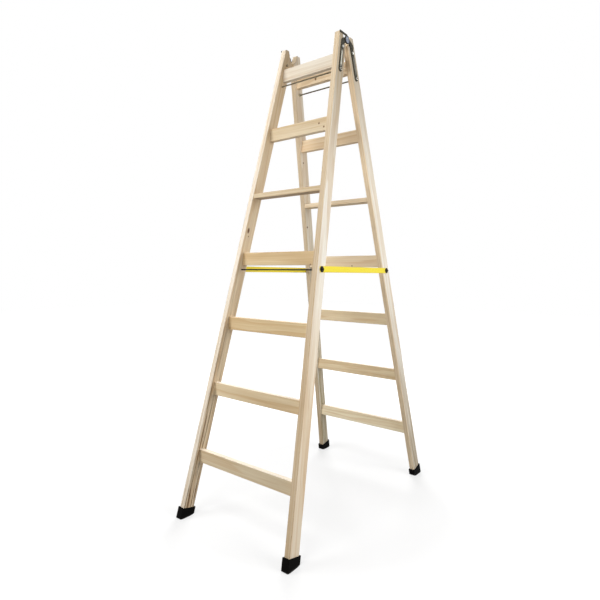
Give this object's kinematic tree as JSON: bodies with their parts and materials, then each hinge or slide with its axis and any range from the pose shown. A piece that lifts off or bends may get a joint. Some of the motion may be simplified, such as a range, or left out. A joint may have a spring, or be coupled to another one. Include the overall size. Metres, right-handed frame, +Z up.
{
  "type": "wooden stepladder",
  "caption": "Free-standing wooden stepladder with tapered front and rear ladders of level rungs, hinged at the top by pressed steel leaves and held open by webbing straps.",
  "frame": {"origin": "on the floor, midway between the four feet of the opened ladder", "axes": "+Z up, +X along the rungs to the right seen from the front, +Y from the front ladder to the rear ladder"},
  "size_m": [0.6108, 1.1002, 2.0602],
  "materials": {
    "pine": "planed, unvarnished softwood",
    "galvanised": "galvanised",
    "dark_steel": "dull drawn rod",
    "black_steel": "black satin",
    "webbing": "woven polyester",
    "rubber": "matt"
  },
  "bodies": {
    "front_ladder": {"front_left_stile": "pine", "front_left_foot": "rubber", "front_left_hinge_leaf": "galvanised", "front_right_stile": "pine", "front_right_foot": "rubber", "front_right_hinge_leaf": "galvanised", "front_rung_1": "pine", "front_rung_2": "pine", "front_rung_3": "pine", "front_rung_4": "pine", "front_rung_5": "pine", "front_rung_6": "pine", "front_rung_7": "pine", "front_top_tie_rod": "dark_steel", "front_middle_tie_rod": "dark_steel", "front_nuts": "galvanised", "front_rod_collars": "dark_steel", "front_hinge_bolts": "galvanised", "front_strap_washers": "black_steel", "hinge_pivots": "galvanised", "left_limit_strap": "webbing", "right_limit_strap": "webbing"},
    "rear_ladder": {"rear_left_stile": "pine", "rear_left_foot": "rubber", "rear_left_hinge_leaf": "galvanised", "rear_right_stile": "pine", "rear_right_foot": "rubber", "rear_right_hinge_leaf": "galvanised", "rear_rung_1": "pine", "rear_rung_2": "pine", "rear_rung_3": "pine", "rear_rung_4": "pine", "rear_rung_5": "pine", "rear_rung_6": "pine", "rear_rung_7": "pine", "rear_top_tie_rod": "dark_steel", "rear_middle_tie_rod": "dark_steel", "rear_nuts": "galvanised", "rear_rod_collars": "dark_steel", "rear_hinge_bolts": "galvanised", "rear_strap_washers": "black_steel"}
  },
  "joints": [
    {"name": "ladder_fold", "type": "hinge", "parent": "front_ladder", "child": "rear_ladder", "pos_m": [0, 0, 2.036], "axis": [-1, 0, 0], "range_deg": [0, 26.4], "deforming": ["left_limit_strap", "right_limit_strap"]}
  ]
}
